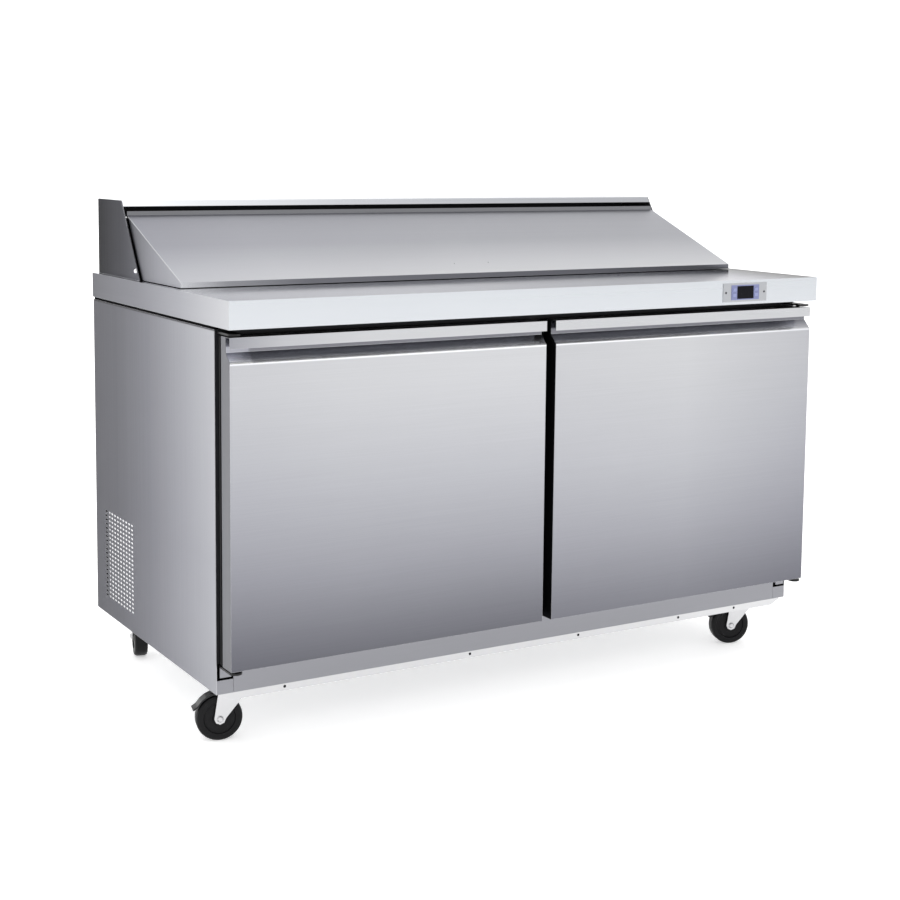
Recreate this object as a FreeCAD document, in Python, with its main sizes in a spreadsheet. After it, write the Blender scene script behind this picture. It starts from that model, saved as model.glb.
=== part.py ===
"""Sandwich prep table: a refrigerated two-door cabinet on casters with a worktop, a rear hood and a lid.

Millimetres. The origin is on the floor below the middle of the worktop: +X to the right seen from
the front, +Y to the back, +Z up. The doors open towards -Y.
"""
import FreeCAD, Part
import math
import os
import re
import Sketcher

Vector = FreeCAD.Vector
Rotation = FreeCAD.Rotation

doc = FreeCAD.newDocument("SandwichPrepTable")
sheet = doc.addObject("Spreadsheet::Sheet", "Sizes")

SIZES = [
    # Worktop
    ("counter_width", 1530, "worktop, side to side"),
    ("counter_depth", 820, "worktop, front to back"),
    ("counter_height", 937, "top of the worktop above the floor"),
    ("skirt_height", 57, "folded edge of the worktop"),
    ("worktop_gauge", 1.2, "worktop sheet"),
    ("opening_side_margin", 90, "pan opening inside the worktop edge, each side"),
    ("opening_depth", 362, "pan opening, front to back"),
    ("opening_back_margin", 110, "pan opening ahead of the worktop's back edge"),
    ("opening_collar", 55, "depth of the sheet collar round the pan opening"),
    # Cabinet
    ("raceway_height", 11.5, "swivel raceway between fork crown and caster plate"),
    ("shadow_gap", 6, "between the worktop skirt and the side panels"),
    ("spacer_recess", 2, "dark spacer below the worktop behind the side and back sheets"),
    ("side_inset", 1.4, "side panels behind the worktop edge"),
    ("back_inset", 1.5, "back panel behind the worktop edge"),
    ("front_setback", 78, "front frame behind the worktop edge"),
    ("panel_gauge", 1.2, "outer steel sheet"),
    ("liner_gauge", 0.8, "inner steel sheet"),
    ("wall", 50, "insulated wall, outside to inside"),
    ("tunnel_depth", 248, "machine compartment, front to back"),
    ("tunnel_height", 305, "machine compartment, floor to roof"),
    ("stile_width", 36, "front frame stile"),
    ("stile_gauge", 2, "front frame sheet"),
    ("mullion_width", 64, "post between the doors"),
    ("mullion_depth", 42, "post between the doors, front to back"),
    ("rail_height", 64.4, "bottom rail"),
    ("end_block_width", 37, "corner block of the bottom rail"),
    ("end_block_height", 29, "corner block of the bottom rail"),
    # Vents
    ("vent_columns", 10, "slots in a row"),
    ("vent_rows", 21, "slots in a column"),
    ("vent_pitch_y", 19.3, "slot spacing, front to back"),
    ("vent_pitch_z", 10.1, "slot spacing, up"),
    ("vent_back_inset", 75, "middle of the rearmost column ahead of the worktop's back edge"),
    ("vent_floor_rise", 47, "middle of the lowest row above the underside of the cabinet"),
    ("slot_length", 13, "vent slot, end to end"),
    ("slot_height", 4.4, "vent slot"),
    ("baffle_gap", 2, "vent baffle behind the side panel"),
    # Doors
    ("door_front", 13, "door face behind the worktop edge"),
    ("door_side_inset", 6.5, "door edge inside the worktop edge"),
    ("door_gap", 24, "between the two doors"),
    ("rail_overlap", 0.1, "door edge below the top of the bottom rail"),
    ("door_head_gap", 10.6, "door below the top of the side panels"),
    ("door_gauge", 1.0, "door sheet"),
    ("return_depth", 43, "folded edge of the door skin"),
    ("groove_depth", 8, "shadow groove between skin and liner"),
    ("groove_inset", 3, "foam edge inside the skin edge"),
    ("door_liner_gauge", 6, "inner door pan"),
    ("gasket_inset", 16, "gasket inside the door edge"),
    ("gasket_width", 18, "gasket strip"),
    ("seal_gap", 0.4, "gasket to front frame when shut"),
    ("lip_height", 22, "handle lip"),
    ("grip_mouth", 30, "finger mouth below the handle lip"),
    ("grip_depth", 20, "finger channel, front to back"),
    ("grip_rise", 20.6, "slope at the bottom of the finger channel"),
    ("pin_inset", 14, "door pivot inside the door edge"),
    ("pin_setback", 30, "door pivot behind the door face"),
    ("pin_radius", 4, "door pivot pin"),
    ("pin_engagement", 12, "pin length inside the bush"),
    ("bush_radius", 8, "door bush, outside"),
    ("bush_length", 16, "door bush"),
    ("running_clearance", 0.05, "radial clearance of turning pins"),
    ("bracket_gauge", 4, "hinge bracket plate"),
    ("bracket_half", 13.5, "half width of a hinge bracket"),
    ("bracket_overhang", 2.5, "hinge bracket in front of the door face"),
    ("bracket_wall", 22, "height of the plate behind a lower hinge bracket"),
    # Hood
    ("hood_side_inset", 14, "hood inside the worktop edge"),
    ("hood_back_inset", 7, "hood back inside the worktop edge"),
    ("hood_height", 175, "hood above the worktop"),
    ("hood_top_depth", 167, "hood at its top, ahead of the worktop's back edge"),
    ("hood_foot_depth", 282, "hood at the worktop, ahead of the worktop's back edge"),
    ("hood_gauge", 1.2, "hood sheet"),
    ("cheek_gauge", 2, "hood cheek sheet"),
    ("lip_drop", 13.5, "front lip of the hood"),
    ("hood_foam_back", 46, "foam behind the hood lining"),
    # Lid
    ("lid_side_gap", 6, "lid inside the hood side, each side"),
    ("lid_gauge", 1.2, "lid sheet"),
    ("lid_leaf", 8.5, "strip folded up at the rear edge of the lid"),
    ("lid_apex_setback", 21.5, "upper rear edge of the lid ahead of the hood's top front"),
    ("lid_apex_drop", 32.5, "upper rear edge of the lid below the hood's top"),
    ("lid_front_overlap", 46, "front flange of the lid ahead of the pan opening"),
    ("lid_front_rise", 13, "top of the front flange above the worktop"),
    ("lid_rest_gap", 1.5, "lid above the worktop when shut"),
    ("lid_cheek_gap", 4, "side plate ahead of the cheek edge"),
    ("lid_core_thickness", 20, "foam below the lid skin"),
    ("lid_pivot_setback", 0.5, "lid hinge rod behind the upper rear edge of the lid"),
    ("lid_pivot_drop", 6.5, "lid hinge rod below the upper rear edge of the lid"),
    ("rod_radius", 3, "lid hinge rod"),
    ("ear_radius", 5, "lid hinge ear"),
    ("ear_gauge", 3, "lid hinge ear"),
    ("handle_hole_spacing", 94, "two holes for a lid handle"),
    ("handle_hole_radius", 2, "holes for a lid handle"),
    ("handle_hole_setback", 50, "holes for a lid handle behind the front flange"),
    # Controller
    ("controller_side_inset", 227, "middle of the controller inside the worktop edge"),
    ("controller_width", 132, "bezel"),
    ("controller_height", 44, "bezel"),
    ("bezel_gauge", 1.5, "bezel sheet"),
    ("frame_width", 84, "moulded controller frame"),
    ("frame_height", 35, "moulded controller frame"),
    ("frame_stand", 2.5, "moulded frame proud of the skirt"),
    ("screen_width", 50, "display"),
    ("screen_height", 30, "display"),
    ("key_width", 9, "push key"),
    ("key_height", 7, "push key"),
    ("key_travel", 0.8, "push key"),
    ("key_gap", 0.4, "clearance round a key"),
    # Casters
    ("wheel_radius", 49, "caster wheel"),
    ("wheel_width", 32, "caster wheel"),
    ("axle_radius", 5, "caster axle rivet"),
    ("trail", 30, "swivel axis to axle"),
    ("fork_gap", 2, "wheel to fork leg"),
    ("fork_gauge", 2.5, "fork sheet"),
    ("crown_gap", 12, "top of the fork crown above the wheel"),
    ("lever_gap", 2.5, "brake lever to wheel tread"),
    ("lever_gauge", 3, "brake lever plate"),
    ("fork_foot", 12, "radius of the fork foot round the axle"),
    ("fork_reach", 30, "half length of the fork crown"),
    ("swivel_radius", 24, "swivel raceway"),
    ("plate_gauge", 3, "caster top plate"),
    ("plate_length", 95, "caster top plate"),
    ("plate_width", 67, "caster top plate"),
    ("channel_gauge", 2.5, "caster channel sheet"),
    ("channel_lip", 18, "caster channel, height of its lips"),
    ("channel_ahead", 74, "caster channel in front of the swivel axis"),
    ("channel_behind", 55, "caster channel behind the swivel axis"),
    ("channel_side_inset", 12, "ends of the caster channel inside the worktop edge"),
    ("front_caster_inset", 72, "front casters inside the worktop edge"),
    ("rear_caster_inset", 88, "rear casters inside the worktop edge"),
    ("front_caster_setback", 160, "front casters behind the worktop's front edge"),
    ("rear_caster_setback", 60, "rear casters ahead of the worktop's back edge"),
]

for row, (alias, value, note) in enumerate(SIZES, start=1):
    sheet.set(f"A{row}", alias)
    sheet.set(f"B{row}", str(value))
    sheet.set(f"C{row}", note)
    sheet.setAlias(f"B{row}", alias)
doc.recompute()

# Places and sizes that follow from the driving ones.
DERIVED = {
    "opening_width": "counter_width - 2 * opening_side_margin",
    "opening_back": "counter_depth / 2 - opening_back_margin",
    "fork_top": "2 * wheel_radius + crown_gap",
    "cabinet_bottom": "fork_top + raceway_height + plate_gauge + channel_gauge",
    "vent_back": "counter_depth / 2 - vent_back_inset",
    "vent_low": "cabinet_bottom + vent_floor_rise",
    "door_bottom": "cabinet_bottom + rail_height - rail_overlap",
    "door_top": "counter_height - skirt_height - shadow_gap - door_head_gap",
    "hood_front_top": "counter_depth / 2 - hood_top_depth",
    "hood_front_low": "counter_depth / 2 - hood_foot_depth",
    "lid_half": "counter_width / 2 - hood_side_inset - lid_side_gap",
    "lid_apex_y": "hood_front_top - lid_apex_setback",
    "lid_apex_rise": "hood_height - lid_apex_drop",
    "lid_front_y": "opening_back - opening_depth - lid_front_overlap",
    "lid_pivot_y": "lid_apex_y + lid_pivot_setback",
    "lid_pivot_rise": "lid_apex_rise - lid_pivot_drop",
    "handle_hole_y": "lid_front_y + handle_hole_setback",
    "controller_x": "counter_width / 2 - controller_side_inset",
    "channel_half": "counter_width / 2 - channel_side_inset",
    "front_swivel_x": "counter_width / 2 - front_caster_inset",
    "rear_swivel_x": "counter_width / 2 - rear_caster_inset",
    "front_swivel_y": "-counter_depth / 2 + front_caster_setback",
    "rear_swivel_y": "counter_depth / 2 - rear_caster_setback",
}

ALIASES = {alias for alias, _, _ in SIZES}
NODES = {}


def spell(match):
    """What a name in an expression stands for: its spreadsheet cell or its own expression."""
    word = match[0]
    if word in DERIVED:
        return "(" + bound(DERIVED[word]) + ")"
    return "Sizes." + word if word in ALIASES else word


def bound(text):
    """The expression text with each derived size written out and each size pointing at its cell."""
    return re.sub(r"[a-z][a-z_]*[a-z]", spell, str(text))


def size(text):
    """The value that the expression text has now."""
    return float(sheet.evalExpression(bound(text)))


def node(name, part):
    """Names a finished sub-part. Its label is the name of its file."""
    part.Label = name
    NODES[name] = part
    return part


def place(part, x="0", y="0", z="0"):
    for axis, text in zip("xyz", (x, y, z)):
        part.setExpression(f"Placement.Base.{axis}", bound(text))
    return part


def block(name, x_range, y_range, z_range):
    """A box between two places along each axis."""
    part = doc.addObject("Part::Box", name)
    for field, (low, high) in zip(("Length", "Width", "Height"), (x_range, y_range, z_range)):
        part.setExpression(field, bound(f"({high}) - ({low})"))
    return place(part, x_range[0], y_range[0], z_range[0])


def mirrored(name, near, far, y_range, z_range):
    """Two boxes, left and right of the middle plane, from near to far off it."""
    left = block(name + "_l", (f"-({far})", f"-({near})"), y_range, z_range)
    right = block(name + "_r", (near, far), y_range, z_range)
    return [left, right]


TURNS = {"x": Rotation(Vector(0, 1, 0), 90), "y": Rotation(Vector(1, 0, 0), -90), "z": Rotation()}


def rod(name, axis, radius, length, x, y, z):
    """A cylinder that starts at a place and runs along +x, +y or +z."""
    part = doc.addObject("Part::Cylinder", name)
    part.Placement = FreeCAD.Placement(Vector(), TURNS[axis])
    part.setExpression("Radius", bound(radius))
    part.setExpression("Height", bound(length))
    return place(part, x, y, z)


def dome(name, axis, radius, height, x, y, z):
    """A low rivet or screw head: a cone frustum that starts at a place and narrows along its axis."""
    part = doc.addObject("Part::Cone", name)
    turns = {"-y": Rotation(Vector(1, 0, 0), 90), "y": TURNS["y"], "x": TURNS["x"],
             "-x": Rotation(Vector(0, 1, 0), -90), "-z": Rotation(Vector(1, 0, 0), 180), "z": TURNS["z"]}
    part.Placement = FreeCAD.Placement(Vector(), turns[axis])
    part.setExpression("Radius1", bound(radius))
    part.setExpression("Radius2", bound(f"({radius}) * 0.6"))
    part.setExpression("Height", bound(height))
    return place(part, x, y, z)


def join(kind, name, parts):
    whole = doc.addObject(kind, name)
    setattr(whole, "Links" if kind == "Part::Compound" else "Shapes", parts)
    return whole


def group(name, parts):
    """Separate solids that share a node."""
    return join("Part::Compound", name, parts)


def fuse(name, parts):
    return join("Part::MultiFuse", name, parts)


def cut(name, base, tool):
    whole = doc.addObject("Part::Cut", name)
    whole.Base = base
    whole.Tool = tool
    return whole


def origin_plane(body, role):
    return next(f for f in body.Origin.OriginFeatures if f.Role == role)


def outline(body, role, points):
    """A closed sketch of straight lines through points whose coordinates are bound to the sheet."""
    sketch = body.newObject("Sketcher::SketchObject", body.Name + "_sketch")
    sketch.AttachmentSupport = [(origin_plane(body, role), "")]
    sketch.MapMode = "FlatFace"
    places = [(size(u), size(v)) for u, v in points]
    count = len(points)
    for i, (u, v) in enumerate(places):
        end = places[(i + 1) % count]
        sketch.addGeometry(Part.LineSegment(Vector(u, v, 0), Vector(end[0], end[1], 0)))
    for i in range(count):
        sketch.addConstraint(Sketcher.Constraint("Coincident", i, 2, (i + 1) % count, 1))
    for i, point in enumerate(points):
        for kind, text, value in zip(("DistanceX", "DistanceY"), point, places[i]):
            index = sketch.addConstraint(Sketcher.Constraint(kind, -1, 1, i, 1, value))
            sketch.setExpression(f"Constraints[{index}]", bound(text))
    return sketch


def extrusion(name, role, points, length, midplane=True):
    """A padded outline. The roles are YZ_Plane, XZ_Plane and XY_Plane."""
    body = doc.addObject("PartDesign::Body", name)
    sketch = outline(body, role, points)
    pad = body.newObject("PartDesign::Pad", name + "_pad")
    pad.Profile = sketch
    pad.setExpression("Length", bound(length))
    pad.Midplane = midplane
    sketch.Visibility = False
    return body


def revolved(name, points):
    """An outline of (radius, place along Y) turned about the Y axis."""
    body = doc.addObject("PartDesign::Body", name)
    sketch = outline(body, "XY_Plane", points)
    turn = body.newObject("PartDesign::Revolution", name + "_turn")
    turn.Profile = sketch
    turn.ReferenceAxis = (sketch, ["V_Axis"])
    turn.Angle = 360
    return body


# Places that several pieces share.
HALF = "counter_width / 2"
FRONT = "(-counter_depth / 2)"
BACK = "counter_depth / 2"
TOP = "counter_height"
SKIRT = "(counter_height - skirt_height)"
SIDE_TOP = "(counter_height - skirt_height - shadow_gap)"
SIDE = "(counter_width / 2 - side_inset)"
REAR = "(counter_depth / 2 - back_inset)"
FRAME = "(-counter_depth / 2 + front_setback)"
FLOOR = "cabinet_bottom"
INNER = "(counter_width / 2 - side_inset - wall)"
INNER_REAR = "(counter_depth / 2 - back_inset - wall)"
INNER_FLOOR = "(cabinet_bottom + wall)"
TUNNEL_FRONT = "(counter_depth / 2 - back_inset - tunnel_depth)"
TUNNEL_TOP = "(cabinet_bottom + tunnel_height)"
STEP_FRONT = "(counter_depth / 2 - back_inset - tunnel_depth - wall)"
STEP_TOP = "(cabinet_bottom + tunnel_height + wall)"
SHEET = "panel_gauge"
LINER = "liner_gauge"
CEILING = "(counter_height - skirt_height - shadow_gap)"
OPEN_HALF = "opening_width / 2"
OPEN_FRONT = "(opening_back - opening_depth)"


def make_side_panels():
    """Outer side sheets with a field of air slots near the lower back corner."""
    for word, sign in (("left", -1), ("right", 1)):
        low, high = (f"-{SIDE}", f"-{SIDE} + {SHEET}") if sign < 0 else (f"{SIDE} - {SHEET}", SIDE)
        plate = block(f"{word}_side_sheet", (low, high), (FRAME, REAR), (FLOOR, SIDE_TOP))
        slots = doc.addObject("Part::Feature", f"{word}_side_slots")
        half_run = size("(slot_length - slot_height) / 2")
        radius = size("slot_height / 2")
        start = size(low) - 1
        depth = size(SHEET) + 2
        tools = []
        for column in range(int(size("vent_columns"))):
            y = size("vent_back") - column * size("vent_pitch_y")
            for line in range(int(size("vent_rows"))):
                z = size("vent_low") + line * size("vent_pitch_z")
                a, b = Vector(start, y - half_run, z - radius), Vector(start, y + half_run, z - radius)
                c, d = Vector(start, y + half_run, z + radius), Vector(start, y - half_run, z + radius)
                edges = [
                    Part.LineSegment(a, b).toShape(),
                    Part.Arc(b, Vector(start, y + half_run + radius, z), c).toShape(),
                    Part.LineSegment(c, d).toShape(),
                    Part.Arc(d, Vector(start, y - half_run - radius, z), a).toShape(),
                ]
                tools.append(Part.Face(Part.Wire(edges)).extrude(Vector(depth, 0, 0)))
        slots.Shape = Part.makeCompound(tools)
        node(f"{word}_side_panel", cut(f"{word}_side_panel", plate, slots))


def make_cabinet():
    inside = f"{SIDE} - {SHEET}"
    back = block("back_sheet", (f"-({inside})", inside), (f"{REAR} - {SHEET}", REAR), (FLOOR, SIDE_TOP))
    louvres = [
        block(f"back_louvre_{i}", ("-560", "-160"), (f"{REAR} - {SHEET} - 1", f"{REAR} + 1"),
              (f"{FLOOR} + 60 + {i * 22}", f"{FLOOR} + 68 + {i * 22}"))
        for i in range(9)
    ]
    node("back_panel", cut("back_panel", back, group("back_louvres", louvres)))
    node("base_pan", block("base_pan", (f"-({inside})", inside), (f"{FRAME} + {SHEET}", f"{REAR} - {SHEET}"),
                           (FLOOR, f"{FLOOR} + {SHEET}")))

    rail_top = "(cabinet_bottom + rail_height)"
    frame_y = (FRAME, f"{FRAME} + stile_gauge")
    frame_parts = mirrored("stile", f"{SIDE} - stile_width", inside, frame_y, (rail_top, SIDE_TOP))
    frame_parts.append(block("top_rail", (f"-({SIDE} - stile_width)", f"{SIDE} - stile_width"), frame_y,
                             (f"{SIDE_TOP} - 26", SIDE_TOP)))
    frame_parts.append(block("mullion", ("-mullion_width / 2", "mullion_width / 2"),
                             (FRAME, f"{FRAME} + mullion_depth"), (rail_top, f"{SIDE_TOP} - 26")))
    node("front_frame", group("front_frame", frame_parts))

    block_near = f"{SIDE} - end_block_width"
    rail_points = [
        (FRAME, FLOOR), (f"{FRAME} + {SHEET}", FLOOR), (f"{FRAME} + {SHEET}", f"{rail_top} - {SHEET}"),
        (f"{FRAME} + 24", f"{rail_top} - {SHEET}"), (f"{FRAME} + 24", rail_top), (FRAME, rail_top),
    ]
    node("bottom_rail", extrusion("bottom_rail", "YZ_Plane", rail_points, f"2 * ({block_near} - 0.6)"))
    end_blocks = mirrored("end_block", block_near, inside, (FRAME, f"{FRAME} + {SHEET}"),
                          (FLOOR, f"{FLOOR} + end_block_height"))
    node("rail_end_blocks", group("rail_end_blocks", end_blocks + make_hinges()))


def make_worktop_core():
    """Foam that fills the worktop round the pan opening, on a recessed spacer above the cabinet."""
    across, ahead, behind = f"{HALF} - worktop_gauge", f"{FRONT} + worktop_gauge", f"{BACK} - worktop_gauge"
    sides = f"{OPEN_HALF} + worktop_gauge"
    front, back = f"{OPEN_FRONT} - worktop_gauge", "opening_back + worktop_gauge"
    height = (SKIRT, f"{TOP} - worktop_gauge")
    pocket = ("controller_x - frame_width / 2", "controller_x + frame_width / 2")
    step = f"{FRAME} + 10"
    spacer_edge = f"{SIDE} - spacer_recess"
    across_spacer = (f"-({spacer_edge})", spacer_edge)
    strips = [
        block("core_front", (f"-({across})", across), (step, front), height),
        block("core_back", (f"-({across})", across), (back, behind), height),
        block("core_nose_left", (f"-({across})", pocket[0]), (ahead, step), height),
        block("core_nose_right", (pocket[1], across), (ahead, step), height),
        block("spacer_front", across_spacer, (f"{FRAME} + 4", f"{FRAME} + 26"), (SIDE_TOP, SKIRT)),
        block("spacer_back", across_spacer, (f"{REAR} - wall", f"{REAR} - spacer_recess"), (SIDE_TOP, SKIRT)),
    ]
    strips += mirrored("core_side", sides, across, (front, back), height)
    strips += mirrored("spacer_side", INNER, spacer_edge, (f"{FRAME} + 26", f"{REAR} - wall"),
                       (SIDE_TOP, SKIRT))
    return strips


def make_insulation():
    """Foam slabs between the outer sheets and the lining, and the foam of the hood."""
    inside = f"{SIDE} - {SHEET}"
    face = f"{FRAME} + 26"
    lined = f"{INNER} + {LINER}"
    foams = mirrored("side_foam_front", lined, inside, (face, f"{STEP_FRONT} + {LINER}"),
                     (f"{FLOOR} + {SHEET}", SIDE_TOP))
    foams += mirrored("side_foam_back", lined, inside, (f"{STEP_FRONT} + {LINER}", f"{REAR} - {SHEET}"),
                      (TUNNEL_TOP, SIDE_TOP))
    across = (f"-({lined})", lined)
    foams.append(block("floor_foam", across, (face, f"{STEP_FRONT} + {LINER}"),
                       (f"{FLOOR} + {SHEET}", f"{INNER_FLOOR} - {LINER}")))
    foams.append(block("step_riser_foam", across, (f"{STEP_FRONT} + {LINER}", TUNNEL_FRONT),
                       (f"{FLOOR} + {SHEET}", TUNNEL_TOP)))
    foams.append(block("step_top_foam", across, (f"{STEP_FRONT} + {LINER}", f"{REAR} - {SHEET}"),
                       (TUNNEL_TOP, f"{STEP_TOP} - {LINER}")))
    foams.append(block("back_foam", across, (f"{INNER_REAR} + {LINER}", f"{REAR} - {SHEET}"),
                       (f"{STEP_TOP} - {LINER}", SIDE_TOP)))
    hood_back = "(counter_depth / 2 - hood_back_inset - hood_gauge)"
    hood_inner = "(counter_width / 2 - hood_side_inset - cheek_gauge)"
    foams.append(block("hood_foam", (f"-{hood_inner}", hood_inner),
                       (f"{hood_back} - hood_foam_back", hood_back),
                       (f"{TOP}", f"{TOP} + hood_height - hood_gauge")))
    foams += make_worktop_core()
    node("cabinet_foam", group("cabinet_foam", foams))

    plates = mirrored("liner_side_front", INNER, lined, (face, STEP_FRONT),
                      (f"{INNER_FLOOR} - {LINER}", CEILING))
    plates += mirrored("liner_side_back", INNER, lined, (STEP_FRONT, f"{INNER_REAR} + {LINER}"),
                       (f"{STEP_TOP} - {LINER}", CEILING))
    within = (f"-{INNER}", INNER)
    plates.append(block("liner_floor", within, (face, STEP_FRONT), (f"{INNER_FLOOR} - {LINER}", INNER_FLOOR)))
    plates.append(block("liner_riser", within, (STEP_FRONT, f"{STEP_FRONT} + {LINER}"),
                        (f"{INNER_FLOOR} - {LINER}", f"{STEP_TOP} - {LINER}")))
    plates.append(block("liner_step", within, (STEP_FRONT, INNER_REAR), (f"{STEP_TOP} - {LINER}", STEP_TOP)))
    plates.append(block("liner_back", within, (INNER_REAR, f"{INNER_REAR} + {LINER}"),
                        (f"{STEP_TOP} - {LINER}", CEILING)))
    node("inner_liner", group("inner_liner", plates))


def make_worktop():
    """A folded sheet with a skirt on all four sides and an opening for the food pans."""
    outer = block("worktop_outer", (f"-{HALF}", HALF), (FRONT, BACK), (SKIRT, TOP))
    hollow = block("worktop_hollow", (f"-{HALF} + worktop_gauge", f"{HALF} - worktop_gauge"),
                   (f"{FRONT} + worktop_gauge", f"{BACK} - worktop_gauge"),
                   (f"{SKIRT} - 1", f"{TOP} - worktop_gauge"))
    mouth = block("worktop_mouth", (f"-{OPEN_HALF}", OPEN_HALF), (OPEN_FRONT, "opening_back"),
                  (f"{SKIRT} - 1", f"{TOP} + 1"))
    bay = block("controller_bay",
                ("controller_x - frame_width / 2 + 2", "controller_x + frame_width / 2 - 2"),
                (f"{FRONT} - 1", f"{FRONT} + 2"), (f"{SKIRT} + skirt_height / 2 - frame_height / 2 + 2",
                                                 f"{SKIRT} + skirt_height / 2 + frame_height / 2 - 2"))
    node("worktop", cut("worktop", outer, fuse("worktop_tools", [hollow, mouth, bay])))

    # Collar plates line the opening; three bars bridge it between the food pans.
    collar = "worktop_gauge"
    collar_z = (f"{TOP} - opening_collar", f"{TOP} - worktop_gauge")
    collars = mirrored("collar_side", OPEN_HALF, f"{OPEN_HALF} + {collar}",
                       (f"{OPEN_FRONT} - {collar}", f"opening_back + {collar}"), collar_z)
    collars.append(block("collar_front", (f"-{OPEN_HALF}", OPEN_HALF),
                         (f"{OPEN_FRONT} - {collar}", OPEN_FRONT), collar_z))
    collars.append(block("collar_back", (f"-{OPEN_HALF}", OPEN_HALF),
                         ("opening_back", f"opening_back + {collar}"), collar_z))
    for i in (-1, 0, 1):
        centre = f"{i} * opening_width / 4"
        collars.append(block(f"pan_bar_{i + 1}", (f"{centre} - 10", f"{centre} + 10"),
                             (OPEN_FRONT, "opening_back"), (f"{TOP} - 14", f"{TOP} - 2")))
    node("pan_rails", group("pan_rails", collars))


HOOD_SIDE = "(counter_width / 2 - hood_side_inset)"
HOOD_BACK = "(counter_depth / 2 - hood_back_inset)"
HOOD_TOP = "(counter_height + hood_height)"
HOOD_SLOPE = "((hood_front_top - hood_front_low) / hood_height)"
PIVOT_Z = "(counter_height + lid_pivot_rise)"
EAR_PLACES = (-0.94, -0.47, 0.0, 0.47, 0.94)


def make_hood():
    """A cap, back and slanted front lip between two cheeks. Tabs below the cap carry the hinge rod."""
    span = f"2 * ({HOOD_SIDE} - cheek_gauge)"
    half = f"{HOOD_SIDE} - cheek_gauge"
    under_cap = f"{HOOD_TOP} - hood_gauge"
    lip = [
        (f"hood_front_top - hood_gauge * {HOOD_SLOPE}", under_cap),
        (f"hood_front_top - lip_drop * {HOOD_SLOPE}", f"{HOOD_TOP} - lip_drop"),
        (f"hood_front_top - lip_drop * {HOOD_SLOPE} + hood_gauge * 1.2", f"{HOOD_TOP} - lip_drop"),
        (f"hood_front_top - hood_gauge * {HOOD_SLOPE} + hood_gauge * 1.2", under_cap),
    ]
    cap = [(HOOD_BACK, under_cap), (HOOD_BACK, HOOD_TOP), ("hood_front_top", HOOD_TOP), lip[0]]
    skin = [
        block("hood_back", (f"-({half})", half), (f"{HOOD_BACK} - hood_gauge", HOOD_BACK), (TOP, under_cap)),
        extrusion("hood_cap", "YZ_Plane", cap, span),
        extrusion("hood_lip", "YZ_Plane", lip, span),
    ]
    lining_y = f"{HOOD_BACK} - hood_gauge - hood_foam_back"
    lining = block("hood_lining", (f"-({HOOD_SIDE} - cheek_gauge)", f"{HOOD_SIDE} - cheek_gauge"),
                   (f"{lining_y} - hood_gauge", lining_y), (TOP, f"{HOOD_TOP} - hood_gauge"))
    tabs = []
    for i, share in enumerate(EAR_PLACES):
        x = f"({share} * lid_half + ear_gauge + 1)"
        arm = block(f"tab_arm_{i}", (x, f"{x} + ear_gauge"),
                    ("lid_pivot_y - ear_radius * 0.7", f"{lining_y} - hood_gauge"),
                    (f"{PIVOT_Z} - 30", f"{PIVOT_Z} - 12"))
        drop = block(f"tab_drop_{i}", (x, f"{x} + ear_gauge"),
                     ("lid_pivot_y - ear_radius * 0.7", "lid_pivot_y + ear_radius * 0.7"),
                     (f"{PIVOT_Z} - 30", PIVOT_Z))
        eye = rod(f"tab_eye_{i}", "x", "ear_radius", "ear_gauge", x, "lid_pivot_y", PIVOT_Z)
        bore = rod(f"tab_bore_{i}", "x", "rod_radius", "ear_gauge + 2", f"{x} - 1", "lid_pivot_y", PIVOT_Z)
        tabs.append(cut(f"hood_tab_{i}", fuse(f"hood_tab_solid_{i}", [arm, drop, eye]), bore))
    node("hood_shell", group("hood_shell", skin + [lining] + tabs))

    cheek = [(HOOD_BACK, TOP), (HOOD_BACK, HOOD_TOP), ("hood_front_top", HOOD_TOP), ("hood_front_low", TOP)]
    cheeks = []
    for word, x in (("left", f"-{HOOD_SIDE}"), ("right", f"{HOOD_SIDE} - cheek_gauge")):
        cheeks.append(place(extrusion(f"{word}_cheek", "YZ_Plane", cheek, "cheek_gauge", False), x))
    node("hood_cheeks", group("hood_cheeks", cheeks))
    node("lid_hinge_rod", rod("lid_hinge_rod", "x", "rod_radius", f"2 * ({HOOD_SIDE} - cheek_gauge)",
                              f"-({HOOD_SIDE} - cheek_gauge)", "lid_pivot_y", PIVOT_Z))


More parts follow.
